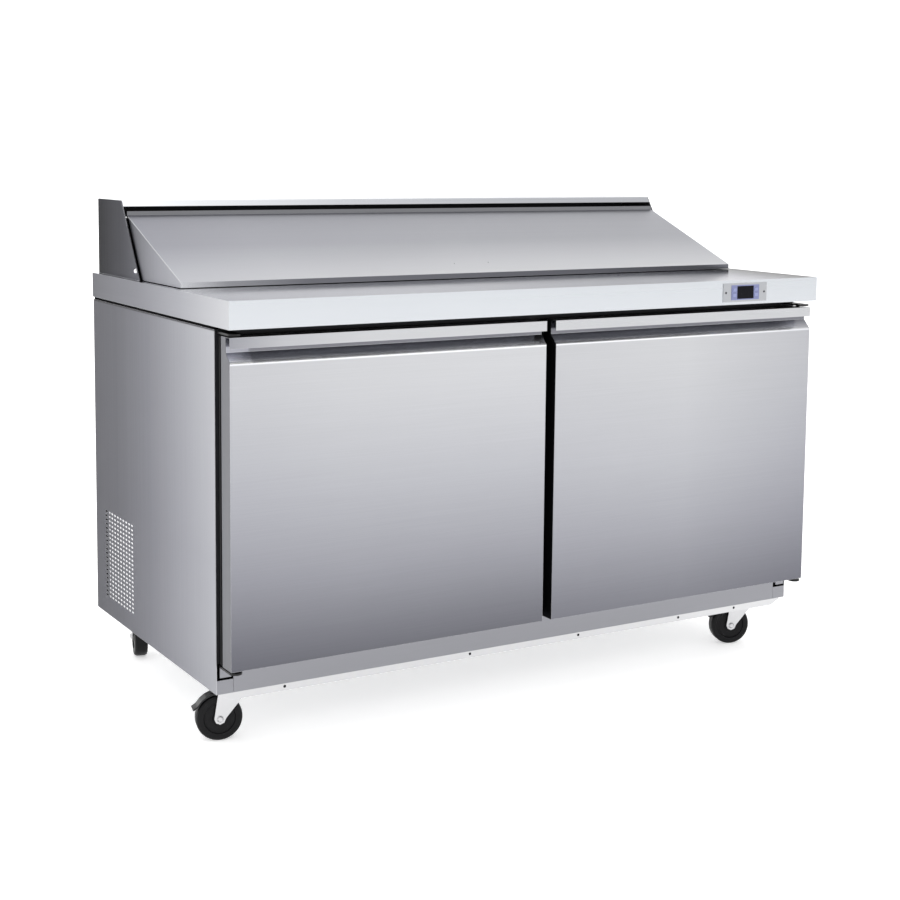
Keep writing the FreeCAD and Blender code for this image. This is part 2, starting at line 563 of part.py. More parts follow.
def make_lid():
    """A sloping lid with triangular sides, stored shut. It turns on the hinge rod."""
    foot = f"{TOP} + lid_rest_gap"
    lean = "((lid_apex_rise - lid_front_rise) / (lid_apex_y - lid_front_y))"
    drop = f"(lid_gauge * sqrt(1 + {lean} * {lean}))"

    def under(y, below):
        return f"{TOP} + lid_front_rise + {lean} * ({y} - lid_front_y) - {drop} - ({below})"

    slope = [
        ("lid_apex_y", under("lid_apex_y", f"-{drop}")), ("lid_front_y", under("lid_front_y", f"-{drop}")),
        ("lid_front_y", under("lid_front_y", "0")), ("lid_apex_y", under("lid_apex_y", "0")),
    ]
    sheet_part = extrusion("lid_slope", "YZ_Plane", slope, "2 * lid_half")
    inner_front = "(lid_front_y + lid_gauge)"
    flange = extrusion("lid_flange", "YZ_Plane", [
        ("lid_front_y", under("lid_front_y", "0")), ("lid_front_y", foot), (inner_front, foot),
        (inner_front, under(inner_front, "0")),
    ], "2 * lid_half")
    holes = [
        rod(f"handle_hole_{i}", "z", "handle_hole_radius", "60", f"{side} * handle_hole_spacing / 2",
            "handle_hole_y", f"{TOP} + 2")
        for i, side in enumerate((-1, 1))
    ]
    pierced = cut("lid_pierced", sheet_part, group("handle_holes", holes))
    leaf_top = f"{TOP} + lid_apex_rise + lid_leaf"
    leaf_front = "(lid_apex_y - lid_gauge)"
    leaf = extrusion("lid_leaf", "YZ_Plane", [
        ("lid_apex_y", f"{TOP} + lid_apex_rise"), ("lid_apex_y", leaf_top), (leaf_front, leaf_top),
        (leaf_front, under(leaf_front, f"-{drop}")),
    ], "2 * lid_half")
    node("lid_skin", group("lid_skin", [pierced, flange, leaf]))

    # The side plates end where their rear edge, parallel to the cheek, meets the underside of the skin.
    edge_y = "(hood_front_low - lid_cheek_gap)"
    side_y = (f"(({edge_y} + {HOOD_SLOPE} * (lid_apex_rise - {drop} - {lean} * lid_apex_y))"
              f" / (1 - {HOOD_SLOPE} * {lean}))")
    side = [
        (side_y, under(side_y, "0")), (inner_front, under(inner_front, "0")), (inner_front, foot),
        (f"{edge_y} + lid_rest_gap * {HOOD_SLOPE}", foot),
    ]
    plates = []
    for word, x in (("left", "-lid_half"), ("right", "lid_half - lid_gauge")):
        plates.append(place(extrusion(f"lid_{word}_side", "YZ_Plane", side, "lid_gauge", False), x))
    node("lid_side_plates", group("lid_side_plates", plates))

    core_back = "(lid_apex_y - 30)"
    core_front = "(lid_front_y + 30)"
    core = [
        (core_back, under(core_back, "0")), (core_front, under(core_front, "0")),
        (f"({core_front} + 20)", under(f"({core_front} + 20)", "lid_core_thickness")),
        (core_back, under(core_back, "lid_core_thickness")),
    ]
    foam = extrusion("lid_foam", "YZ_Plane", core, "2 * (lid_half - lid_gauge)")
    node("lid_core", cut("lid_core", foam, group("core_handle_holes", [
        rod(f"core_hole_{i}", "z", "handle_hole_radius * 3", "60", f"{side_sign} * handle_hole_spacing / 2",
            "handle_hole_y", f"{TOP} - 10")
        for i, side_sign in enumerate((-1, 1))
    ])))

    ears = []
    for i, share in enumerate(EAR_PLACES):
        x = f"{share} * lid_half"
        arm = [
            ("lid_apex_y", under("lid_apex_y", "0")), (core_back, under(core_back, "0")),
            (core_back, under(core_back, "12")),
            ("lid_pivot_y - ear_radius * 0.9", f"{PIVOT_Z} - ear_radius * 0.5"),
            ("lid_pivot_y", PIVOT_Z),
        ]
        strap = place(extrusion(f"ear_arm_{i}", "YZ_Plane", arm, "ear_gauge", False), x)
        eye = rod(f"ear_eye_{i}", "x", "ear_radius", "ear_gauge", x, "lid_pivot_y", PIVOT_Z)
        bore = rod(f"ear_bore_{i}", "x", "rod_radius + running_clearance", "ear_gauge + 2", f"{x} - 1",
                   "lid_pivot_y", PIVOT_Z)
        ears.append(cut(f"lid_ear_{i}", fuse(f"lid_ear_solid_{i}", [strap, eye]), bore))
    node("lid_hinge_ears", group("lid_hinge_ears", ears))


FACE = "(-counter_depth / 2 + door_front)"
RETURN = "(-counter_depth / 2 + door_front + return_depth)"
LINER_FACE = "(-counter_depth / 2 + door_front + return_depth + groove_depth)"
SEAL_FACE = "(-counter_depth / 2 + door_front + return_depth + groove_depth + door_liner_gauge)"
PIN_Y = "(-counter_depth / 2 + door_front + pin_setback)"
DOOR_OUTER = "(counter_width / 2 - door_side_inset)"
DOOR_INNER = "(door_gap / 2)"
GRIP_TOP = "(door_top - lip_height)"
GRIP_LOW = "(door_top - lip_height - grip_mouth)"
GRIP_BACK = "(-counter_depth / 2 + door_front + grip_depth)"
PIN_X = "(counter_width / 2 - door_side_inset - pin_inset)"


def ring(name, x_range, y_range, z_range, strip):
    """A frame of a given strip width, in the XZ plane."""
    outer = block(name + "_outer", x_range, y_range, z_range)
    inner = block(name + "_inner", (f"{x_range[0]} + {strip}", f"{x_range[1]} - {strip}"),
                  (f"{y_range[0]} - 1", f"{y_range[1]} + 1"),
                  (f"{z_range[0]} + {strip}", f"{z_range[1]} - {strip}"))
    return cut(name, outer, inner)


def make_door(word, sign):
    """A foamed door: folded skin, handle channel, inner pan, magnetic gasket and two pivot bushes."""
    if sign < 0:
        edges = (f"-{DOOR_OUTER}", f"-{DOOR_INNER}")
    else:
        edges = (DOOR_INNER, DOOR_OUTER)
    width = f"({edges[1]}) - ({edges[0]})"
    gauge = "door_gauge"

    def within(inset):
        return (f"{edges[0]} + {inset}", f"{edges[1]} - {inset}")

    tray = block(f"{word}_tray", edges, (FACE, RETURN), ("door_bottom", GRIP_LOW))
    tray_hollow = block(f"{word}_tray_hollow", within(gauge), (f"{FACE} + {gauge}", f"{RETURN} + 1"),
                        (f"door_bottom + {gauge}", f"{GRIP_LOW} + 1"))
    flank = [
        (FACE, GRIP_LOW), (GRIP_BACK, f"{GRIP_LOW} + grip_rise"), (GRIP_BACK, f"door_top - {gauge}"),
        (RETURN, f"door_top - {gauge}"), (RETURN, GRIP_LOW),
    ]
    flanks = [
        place(extrusion(f"{word}_flank_{i}", "YZ_Plane", flank, gauge, False), low)
        for i, low in enumerate((edges[0], f"{edges[1]} - {gauge}"))
    ]
    pin_x = f"-{PIN_X}" if sign < 0 else PIN_X
    low_hole = rod(f"{word}_low_hole", "z", "bush_radius", "8", pin_x, PIN_Y, "door_bottom - 2")
    tray_cut = cut(f"{word}_tray_open", tray, tray_hollow)
    skin = cut(f"{word}_door_skin", fuse(f"{word}_skin_solid", [tray_cut] + flanks), low_hole)
    node(f"{word}_door_skin", skin)

    # The handle: slope, back wall, top and a lip that hangs in front of the finger channel.
    middle = f"(({edges[0]}) + ({edges[1]})) / 2"
    span = f"({width}) - 2 * {gauge}"
    slope_top = f"{GRIP_LOW} + grip_rise"
    slope_low = f"{FACE} + {gauge} * 1.4"
    foam_back = f"{GRIP_BACK} + {gauge}"
    shoulder = f"{slope_top} - {gauge} * 0.4"
    ramp = [(FACE, GRIP_LOW), (GRIP_BACK, slope_top), (foam_back, slope_top), (foam_back, shoulder),
            (slope_low, GRIP_LOW)]
    top_hole = rod(f"{word}_top_hole", "z", "bush_radius", "8", pin_x, PIN_Y, "door_top - 4")
    top_plate = block(f"{word}_handle_top", edges, (FACE, RETURN), (f"door_top - {gauge}", "door_top"))
    node(f"{word}_door_handle", group(f"{word}_door_handle", [
        place(extrusion(f"{word}_handle_ramp", "YZ_Plane", ramp, span), middle),
        block(f"{word}_handle_back", within(gauge), (GRIP_BACK, foam_back),
              (slope_top, f"door_top - {gauge}")),
        block(f"{word}_handle_lip", edges, (FACE, f"{FACE} + {gauge}"), (GRIP_TOP, f"door_top - {gauge}")),
        cut(f"{word}_handle_cover", top_plate, top_hole),
    ]))

    wedge = [(slope_low, GRIP_LOW), (foam_back, shoulder), (RETURN, shoulder), (RETURN, GRIP_LOW)]
    low_foam = block(f"{word}_foam_low", within(gauge), (f"{FACE} + {gauge}", RETURN),
                     (f"door_bottom + {gauge}", GRIP_LOW))
    high_foam = block(f"{word}_foam_high", within(gauge), (foam_back, RETURN),
                      (shoulder, f"door_top - {gauge}"))
    low_socket = rod(f"{word}_socket_low", "z", "bush_radius", "bush_length", pin_x, PIN_Y, "door_bottom")
    top_socket = rod(f"{word}_socket_top", "z", "bush_radius", "bush_length", pin_x, PIN_Y,
                     "door_top - bush_length")
    node(f"{word}_door_foam", group(f"{word}_door_foam", [
        cut(f"{word}_foam_low_cut", low_foam, low_socket),
        place(extrusion(f"{word}_foam_wedge", "YZ_Plane", wedge, span), middle),
        cut(f"{word}_foam_high_cut", high_foam, top_socket),
        block(f"{word}_foam_neck", within("groove_inset"), (RETURN, LINER_FACE),
              ("door_bottom + groove_inset", "door_top - groove_inset")),
    ]))

    node(f"{word}_door_liner", block(f"{word}_door_liner", within(gauge), (LINER_FACE, SEAL_FACE),
                                     (f"door_bottom + {gauge}", f"door_top - {gauge}")))
    node(f"{word}_door_gasket", ring(
        f"{word}_door_gasket", within("gasket_inset"), (SEAL_FACE, f"{FRAME} - seal_gap"),
        ("door_bottom + gasket_inset", "door_top - gasket_inset"), "gasket_width"))
    bushes = []
    for i, base in enumerate(("door_bottom", "door_top - bush_length")):
        body = rod(f"{word}_bush_{i}", "z", "bush_radius", "bush_length", pin_x, PIN_Y, base)
        mouth = "door_bottom - 1" if i == 0 else "door_top - pin_engagement - 1"
        bore = rod(f"{word}_bush_bore_{i}", "z", "pin_radius + running_clearance", "pin_engagement + 2",
                   pin_x, PIN_Y, mouth)
        bushes.append(cut(f"{word}_door_bush_{i}", body, bore))
    node(f"{word}_door_bushes", group(f"{word}_door_bushes", bushes))


def bracket_arm(name, pin_x, z_low):
    """A hinge arm in plan: straight at the frame and rounded at its front end."""
    half, front = "bracket_half", f"({FACE} - bracket_overhang)"
    plate = block(name + "_plate", (f"{pin_x} - {half}", f"{pin_x} + {half}"), (f"{front} + {half}", FRAME),
                  (z_low, f"{z_low} + bracket_gauge"))
    nose = rod(name + "_nose", "z", half, "bracket_gauge", pin_x, f"{front} + {half}", z_low)
    return fuse(name, [plate, nose])


def make_hinges():
    """Brackets above and below each door carry fixed pins that stand in the door's bushes."""
    tops, bottoms, walls = [], [], []
    length = "pin_engagement + 3 + bracket_gauge"
    top_z, low_z = "(door_top + 3)", "(door_bottom - 3 - bracket_gauge)"
    for word, pin_x in (("left", f"-{PIN_X}"), ("right", PIN_X)):
        wall_x = (f"{pin_x} - bracket_half + 1", f"{pin_x} + bracket_half - 1")
        tops.append(fuse(f"{word}_top_bracket", [
            bracket_arm(f"{word}_top_arm", pin_x, top_z),
            block(f"{word}_top_wall", wall_x, (f"{FRAME} - 3", FRAME), (top_z, SIDE_TOP)),
            rod(f"{word}_top_pin", "z", "pin_radius", length, pin_x, PIN_Y, "door_top - pin_engagement"),
        ]))
        bottoms.append(fuse(f"{word}_low_bracket", [
            bracket_arm(f"{word}_low_arm", pin_x, low_z),
            rod(f"{word}_low_pin", "z", "pin_radius", length, pin_x, PIN_Y, low_z),
        ]))
        walls.append(block(f"{word}_low_wall", wall_x, (f"{FRAME} - 3", FRAME),
                           (f"{low_z} - bracket_wall", low_z)))
    node("top_hinge_brackets", group("top_hinge_brackets", tops))
    node("bottom_hinge_brackets", group("bottom_hinge_brackets", bottoms))
    return walls


PANEL_Z = "(counter_height - skirt_height / 2)"
KEY_COLUMNS = (-1, 1)
KEY_ROWS = (-1, 1)


def make_controller():
    """A bezel on the worktop skirt round a moulded frame with a display and four push keys."""
    def around(half_w, half_h, y_range, name):
        return block(name, (f"controller_x - ({half_w})", f"controller_x + ({half_w})"), y_range,
                     (f"{PANEL_Z} - ({half_h})", f"{PANEL_Z} + ({half_h})"))

    bezel_y = (f"{FRONT} - bezel_gauge", FRONT)
    bezel = around("controller_width / 2", "controller_height / 2", bezel_y, "bezel_plate")
    window = around("frame_width / 2", "frame_height / 2", (f"{FRONT} - 3", f"{FRONT} + 1"), "bezel_window")
    node("controller_bezel", cut("controller_bezel", bezel, window))

    rim = around("frame_width / 2", "frame_height / 2", (f"{FRONT} - frame_stand", FRONT), "frame_rim")
    tub = around("frame_width / 2 - 2", "frame_height / 2 - 2", (FRONT, f"{FRONT} + 60"), "frame_tub")
    pockets = [around("screen_width / 2", "screen_height / 2", (f"{FRONT} - 4", f"{FRONT} - 1"),
                      "screen_pocket")]
    reach = "(screen_width / 2 + key_width / 2 + 3.5)"
    wells = []
    for column in KEY_COLUMNS:
        for line in KEY_ROWS:
            x = f"controller_x + {column} * {reach}"
            z = f"{PANEL_Z} + {line} * (key_height / 2 + 3)"
            wells.append((column, line, x, z))
            pockets.append(block(f"well_{column + 1}_{line + 1}",
                                 (f"{x} - key_width / 2 - key_gap", f"{x} + key_width / 2 + key_gap"),
                                 (f"{FRONT} - 4", f"{FRONT} + 2"),
                                 (f"{z} - key_height / 2 - key_gap", f"{z} + key_height / 2 + key_gap")))
    housing = cut("controller_housing", fuse("frame_solid", [rim, tub]), group("frame_pockets", pockets))
    node("controller_housing", housing)
    node("display_window", around("screen_width / 2", "screen_height / 2",
                                  (f"{FRONT} - frame_stand - 0.2", f"{FRONT} - 1"), "display_window"))
    for column, line, x, z in wells:
        word = ("left" if column < 0 else "right") + ("_lower" if line < 0 else "_upper")
        key = block(f"{word}_key", (f"{x} - key_width / 2", f"{x} + key_width / 2"),
                    (f"{FRONT} - frame_stand - 0.8", f"{FRONT} + 1"),
                    (f"{z} - key_height / 2", f"{z} + key_height / 2"))
        node(f"{word}_key", key)


def make_machinery():
    """Compressor, condenser and evaporator as plain closed shapes, with two turning fans."""
    tunnel_z = f"{FLOOR} + {SHEET}"
    centre_y = f"(({TUNNEL_FRONT} + {REAR}) / 2)"
    shell = compressor_can(centre_y, tunnel_z)
    node("compressor", shell)

    coil_block = block("condenser_block", ("-560", "-500"), (f"{centre_y} - 95", f"{centre_y} + 95"),
                       (tunnel_z, f"{tunnel_z} + 230"))
    socket = rod("condenser_socket", "x", "3 + running_clearance", "30", "-521", centre_y,
                 f"{tunnel_z} + 115")
    coil = cut("condenser_body", coil_block, socket)
    shroud = block("condenser_shroud", ("-500", "-470"), (f"{centre_y} - 95", f"{centre_y} + 95"),
                   (tunnel_z, f"{tunnel_z} + 230"))
    hole = rod("shroud_hole", "x", "86", "32", "-501", centre_y, f"{tunnel_z} + 115")
    node("condenser_coil", group("condenser_coil", [coil, cut("condenser_ring", shroud, hole)]))
    node("condenser_fan", fan("condenser_fan", "x", 80, 14, "-490", centre_y, f"{tunnel_z} + 115", "-520"))

    evap_y = (f"{INNER_REAR} - 110", f"{INNER_REAR}")
    case = block("evaporator_case", ("-260", "260"), evap_y, (STEP_TOP, f"{STEP_TOP} + 190"))
    throat = rod("evaporator_throat", "y", "76", "40", "0", f"{INNER_REAR} - 111", f"{STEP_TOP} + 95")
    seat = rod("evaporator_socket", "y", "3 + running_clearance", "30", "0", f"{INNER_REAR} - 72",
               f"{STEP_TOP} + 95")
    node("evaporator_coil", cut("evaporator_coil", case, group("evaporator_bores", [throat, seat])))
    node("evaporator_fan", fan("evaporator_fan", "y", 70, 14, "0", f"{INNER_REAR} - 95", f"{STEP_TOP} + 95",
                               f"{INNER_REAR} - 82"))

    near = f"{SIDE} - {SHEET} - baffle_gap"
    last = "vent_back - vent_pitch_y * (vent_columns - 1)"
    node("vent_baffles", group("vent_baffles", mirrored(
        "baffle", f"{near} - 4", near, (f"{last} - 14", "vent_back - vent_pitch_y / 2"),
        (tunnel_z, "vent_low + vent_pitch_z * (vent_rows - 1) + 20"))))


def compressor_can(centre_y, base):
    """A hermetic compressor: a round can with a domed top on a base plate."""
    can = rod("compressor_shell", "z", "82", "130", "250", centre_y, f"{base} + 22")
    crown = doc.addObject("Part::Cone", "compressor_crown")
    crown.Radius1, crown.Radius2, crown.Height = 82, 50, 34
    place(crown, "250", centre_y, f"{base} + 152")
    plate = block("compressor_plate", ("150", "350"), (f"{centre_y} - 80", f"{centre_y} + 80"),
                  (base, f"{base} + 22"))
    box = block("relay_box", ("325", "375"), (f"{centre_y} - 30", f"{centre_y} + 30"),
                (f"{base} + 60", f"{base} + 125"))
    return fuse("compressor", [can, crown, plate, box])


def fan(name, axis, radius, depth, x, y, z, shaft_start):
    """Flat blades on a hub and a shaft, centred on the fan's own axis."""
    along_x = axis == "x"
    at = (shaft_start, y, z) if along_x else (x, shaft_start, z)
    parts = [rod(name + "_hub", axis, "18", str(depth), x, y, z), rod(name + "_shaft", axis, "3", "31", *at)]
    gauge, chord, root, count = 3, 34, 10, 5
    middle = (depth - gauge) / 2
    turn = Vector(1, 0, 0) if along_x else Vector(0, 1, 0)
    shift = Vector(middle, -chord / 2, root) if along_x else Vector(-chord / 2, middle, root)
    for i in range(count):
        blade = doc.addObject("Part::Box", f"{name}_blade_{i}")
        blade.Length, blade.Width = (gauge, chord) if along_x else (chord, gauge)
        blade.Height = radius - root
        spin = FreeCAD.Placement(Vector(), Rotation(turn, 360 / count * i))
        blade.Placement = spin * FreeCAD.Placement(shift, Rotation())
        base = blade.Placement.Base
        parts.append(place(blade, f"{x} + ({base.x})", f"{y} + ({base.y})", f"{z} + ({base.z})"))
    return fuse(name, parts)


def make_shelves():
    """Two wire shelves on four clips each, in the main compartment."""
    wires, rim = [], 3
    z = "door_bottom + 290"
    front, back = f"{FRAME} + mullion_depth + 12", f"{STEP_FRONT} - 8"
    for word, sign in (("left", -1), ("right", 1)):
        near, far = "mullion_width / 2", f"{INNER} - 6"
        x_low, x_high = (f"-({far})", f"-({near})") if sign < 0 else (near, far)
        bars = [
            rod(f"{word}_shelf_front", "x", str(rim), f"({x_high}) - ({x_low})", x_low, front, z),
            rod(f"{word}_shelf_back", "x", str(rim), f"({x_high}) - ({x_low})", x_low, back, z),
        ]
        for i in range(14):
            x = f"{x_low} + {rim} + (({x_high}) - ({x_low}) - {2 * rim}) * {i} / 13"
            bars.append(rod(f"{word}_wire_{i}", "y", "2", f"({back}) - ({front})", x, front, z))
        wires.append(fuse(f"{word}_shelf", bars))
    for word, sign in (("left", -1), ("right", 1)):
        low, high = (f"-{INNER}", f"-{INNER} + 12") if sign < 0 else (f"{INNER} - 12", INNER)
        for i, y in enumerate((f"{front} + 20", f"{back} - 40")):
            wires.append(block(f"{word}_clip_{i}", (low, high), (y, f"{y} + 20"),
                               (f"{z} - 8", f"{z} - {rim}")))
    node("wire_shelves", group("wire_shelves", wires))


ANGLES = {"front_left": -13.5, "front_right": -20.0, "rear_left": -105.0, "rear_right": -98.0}
CHANNEL_TOP = "(cabinet_bottom - channel_gauge)"


def make_casters():
    """Two channels below the cabinet and four swivel casters. The front pair has brake levers."""
    channels, plates = [], []
    for word in ("front", "rear"):
        y = f"{word}_swivel_y"
        lip_low = "(cabinet_bottom - channel_lip)"
        near, far = f"{y} - channel_ahead", f"{y} + channel_behind"
        half = "channel_half"
        channels.append(block(f"{word}_channel_web", (f"-{half}", half),
                              (f"{near} + channel_gauge", f"{far} - channel_gauge"), (CHANNEL_TOP, FLOOR)))
        for i, low in enumerate((near, f"{far} - channel_gauge")):
            lip = [
                (f"-{half}", FLOOR), (half, FLOOR), (half, f"{FLOOR} - 6"), (f"{half} - 25", lip_low),
                (f"-({half} - 25)", lip_low), (f"-{half}", f"{FLOOR} - 6"),
            ]
            body = extrusion(f"{word}_channel_lip_{i}", "XZ_Plane", lip, "channel_gauge", False)
            channels.append(place(body, "0", f"{low} + channel_gauge"))
    screws = [
        dome(f"channel_screw_{i}", "-y", "3.2", "1.6", f"channel_half * {share}",
             "front_swivel_y - channel_ahead", "cabinet_bottom - channel_lip / 2")
        for i, share in enumerate((-0.807, -0.206, 0.185, 0.576, 0.807))
    ]
    node("caster_channels", group("caster_channels", channels))

    for place_name, angle in ANGLES.items():
        row_word, side_word = place_name.split("_")
        x = f"{'-' if side_word == 'left' else ''}{row_word}_swivel_x"
        y = f"{row_word}_swivel_y"
        plate = block(f"{place_name}_plate", (f"{x} - plate_width / 2", f"{x} + plate_width / 2"),
                      (f"{y} - plate_length / 2", f"{y} + plate_length / 2"),
                      (f"{CHANNEL_TOP} - plate_gauge", CHANNEL_TOP))
        king = rod(f"{place_name}_king_pin", "z", "6",
                   f"{CHANNEL_TOP} - plate_gauge - fork_top + fork_gauge + 1.5",
                   x, y, "fork_top - fork_gauge - 1.5")
        plates.append(fuse(f"{place_name}_top_plate", [plate, king]))
        make_fork(place_name, angle, x, y)
        make_wheel(place_name, angle, x, y)
    node("caster_plates", group("caster_plates", plates))
    for side_word in ("left", "right"):
        make_brake(side_word)
    return screws


def settle(part, angle, x, y):
    """Turns a caster piece about the swivel axis and sets it in place."""
    part.Placement = FreeCAD.Placement(Vector(), Rotation(Vector(0, 0, 1), angle))
    return place(part, x, y)


LEVER_X = "(-trail + 2)"
LEVER_Z = "(wheel_radius * 2 + lever_gap + 2.8)"


def make_fork(name, angle, x, y):
    """A pressed fork whose crown sits on the king pin; its legs taper to the axle rivet."""
    half_gap = "(wheel_width / 2 + fork_gap)"
    leg = [
        ("-trail - fork_foot", "wheel_radius"),
        ("-trail - fork_foot * 0.7", "wheel_radius - fork_foot * 0.71"),
        ("-trail", "wheel_radius - fork_foot"),
        ("-trail + fork_foot * 0.7", "wheel_radius - fork_foot * 0.71"),
        ("-trail + fork_foot * 1.05", "wheel_radius + 1"), ("fork_reach", "fork_top - fork_gauge"),
        ("-fork_reach - 3", "fork_top - fork_gauge"),
    ]
    parts = []
    for i, base in enumerate((f"-{half_gap}", f"{half_gap} + fork_gauge")):
        body = extrusion(f"{name}_leg_{i}", "XZ_Plane", leg, "fork_gauge", False)
        parts.append(place(body, "0", base))
    outer = f"({half_gap} + fork_gauge)"
    crown = fuse(f"{name}_crown_solid", [
        block(f"{name}_crown", ("-fork_reach - 3", "fork_reach"), (f"-{outer}", outer),
              ("fork_top - fork_gauge", "fork_top")),
        rod(f"{name}_raceway", "z", "swivel_radius", f"{CHANNEL_TOP} - plate_gauge - fork_top - 0.4", "0",
            "0", "fork_top"),
    ])
    king = rod(f"{name}_king_hole", "z", "6 + running_clearance", "40", "0", "0", "fork_top - 20")
    parts.append(cut(f"{name}_crown_bored", crown, king))
    parts.append(rod(f"{name}_axle", "y", "axle_radius", f"2 * {half_gap}", "-trail", f"-{half_gap}",
                     "wheel_radius"))
    parts.append(dome(f"{name}_rivet_front", "-y", "axle_radius * 1.5", "4", "-trail", f"-{outer}",
                      "wheel_radius"))
    parts.append(dome(f"{name}_rivet_back", "y", "axle_radius * 1.5", "4", "-trail", outer, "wheel_radius"))
    if name.startswith("front"):
        parts.append(rod(f"{name}_lever_pin", "y", "2", f"2 * {half_gap}", LEVER_X, f"-{half_gap}", LEVER_Z))
    node(f"{name}_fork", settle(group(f"{name}_fork", parts), angle, x, y))


def make_wheel(name, angle, x, y):
    """A hard rubber wheel with a stepped hub, turned about its axle."""
    half = "wheel_width / 2"
    rim = "wheel_radius"
    profile = [
        ("axle_radius + running_clearance", f"-{half}"), ("14", f"-{half}"), ("16", f"-{half} + 3"),
        (f"{rim} - 17", f"-{half} + 3"), (f"{rim} - 15", f"-{half}"), (f"{rim} - 6", f"-{half}"),
        (f"{rim} - 2", f"-{half} + 2"), (rim, f"-{half} + 7"),
        (rim, f"{half} - 7"), (f"{rim} - 2", f"{half} - 2"),
        (f"{rim} - 6", half), (f"{rim} - 15", half), (f"{rim} - 17", f"{half} - 3"),
        ("16", f"{half} - 3"), ("14", half), ("axle_radius + running_clearance", half),
    ]
    body = revolved(f"{name}_wheel_body", profile)
    place(body, "-trail", "0", rim)
    whole = group(f"{name}_wheel", [body])
    node(f"{name}_wheel", settle(whole, angle, x, y))


def make_brake(side_word):
    """A curved lever over the wheel's tread, pivoted on a pin between the fork legs."""
    name = f"front_{side_word}"
    x = f"{'-' if side_word == 'left' else ''}front_swivel_x"
    angles = (93, 107, 121, 135, 149)
    low, high = "(wheel_radius + lever_gap)", "(wheel_radius + lever_gap + lever_gauge)"
    arc = [(f"-trail + {high} * cos({a})", f"wheel_radius + {high} * sin({a})") for a in angles]
    arc += [("-trail - wheel_radius - 7", "wheel_radius + 22"),
            ("-trail - wheel_radius - 5", "wheel_radius + 19")]
    arc += [(f"-trail + {low} * cos({a})", f"wheel_radius + {low} * sin({a})") for a in reversed(angles)]
    width = "(wheel_width - 4)"
    strip = extrusion(f"{name}_lever", "XZ_Plane", arc, width)
    eye = rod(f"{name}_lever_eye", "y", "3.4", width, LEVER_X, f"-{width} / 2", LEVER_Z)
    bore = rod(f"{name}_lever_bore", "y", "2 + running_clearance", f"{width} + 2", LEVER_X,
               f"-{width} / 2 - 1", LEVER_Z)
    lever = cut(f"{name}_lever_body", fuse(f"{name}_lever_solid", [strip, eye]), bore)
    node(f"{name}_brake_lever", settle(group(f"{name}_brake", [lever]), ANGLES[name], x, "front_swivel_y"))


def make_trim(screws):
    """Screws and the cord gland."""
    for word, side, axis in (("left", -1, "-x"), ("right", 1, "x")):
        face = f"-{HOOD_SIDE}" if side < 0 else HOOD_SIDE
        screws.append(dome(f"{word}_cheek_screw", axis, "6", "3", face,
                           "hood_front_low + 22.5", f"{TOP} + 20"))
    for i, side in enumerate((-1, 1)):
        screws.append(dome(f"bezel_screw_{i}", "-y", "2.6", "1.2",
                           f"controller_x + {side} * (controller_width / 2 - 8)",
                           f"{FRONT} - bezel_gauge", PANEL_Z))
    node("cabinet_screws", group("cabinet_screws", screws))
    hub = rod("gland_hub", "y", "14", "4", "-640", REAR, f"{FLOOR} + 90")
    nose = rod("gland_nose", "y", "9", "9", "-640", f"{REAR} + 4", f"{FLOOR} + 90")
    hole = rod("gland_hole", "y", "4.5", "20", "-640", f"{REAR} - 1", f"{FLOOR} + 90")
    node("cord_gland", cut("cord_gland", fuse("gland_solid", [hub, nose]), hole))


make_side_panels()
make_cabinet()
make_insulation()
make_worktop()
make_hood()
make_lid()
for side_name, direction in (("left", -1), ("right", 1)):
    make_door(side_name, direction)
make_controller()
make_machinery()
make_shelves()
make_trim(make_casters())
doc.recompute()

faults = [o.Name for o in doc.Objects if "Invalid" in o.State or "Error" in o.State]
if faults:
    raise RuntimeError(f"objects that did not build: {faults}")
for name, part in NODES.items():
    if part.Shape.isNull() or not part.Shape.isValid() or not part.Shape.Solids:
        raise RuntimeError(f"{name} has no valid solid")

os.makedirs("parts", exist_ok=True)
for name, part in NODES.items():
    part.Shape.exportStep(f"parts/{name}.step")
print(len(NODES), "nodes")
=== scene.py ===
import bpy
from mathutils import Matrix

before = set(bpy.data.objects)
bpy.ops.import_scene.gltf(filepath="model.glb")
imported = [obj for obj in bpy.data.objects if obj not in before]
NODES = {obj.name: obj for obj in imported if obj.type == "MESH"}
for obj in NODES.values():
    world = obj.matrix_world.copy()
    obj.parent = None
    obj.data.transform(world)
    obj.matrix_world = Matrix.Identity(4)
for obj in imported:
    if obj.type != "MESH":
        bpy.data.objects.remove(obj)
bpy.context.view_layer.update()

import math

import bpy
from mathutils import Matrix, Vector

MM = 0.001


# ---------------------------------------------------------------- materials

MATERIALS = {}
WHITE = (1, 1, 1, 1)
PALE = (0.545, 0.55, 0.565)  # the usual colour of the brushed sheet
COOLING = 0.14  # how much bluer a dark grey is than a light one
NOISE_LOW, NOISE_HIGH = 0.3, 0.7  # between these lie nearly all values of a noise
EDGE_RADIUS = 0.0012  # metres
EDGE_DOT, FLAT_DOT = 0.8, 0.99  # rounded normal times true normal, on an edge and on a flat face

# The inputs and the output of a colour Mix node, by number, as several share one name.
MIX_FACTOR, MIX_A, MIX_B, MIX_RESULT = 0, 6, 7, 2

# Stretches: the first three draw a noise out into strokes along an axis.
ALONG_X = (0.004, 1, 1)
ALONG_Y = (1, 0.004, 1)
ALONG_Z = (1, 1, 0.004)
EVEN = (1, 1, 1)


def cool(value):
    """A grey that turns bluer as it darkens, as darker reflections in polished steel do; it colours the
    painted shades.
    """
    return (value, value, value * (1 + COOLING * (1 - min(1, value))))


def scaled(color, factor, lift=0.0):
    return tuple(c * factor + lift for c in color)


def capped(color):
    return tuple(min(1, c) for c in color)


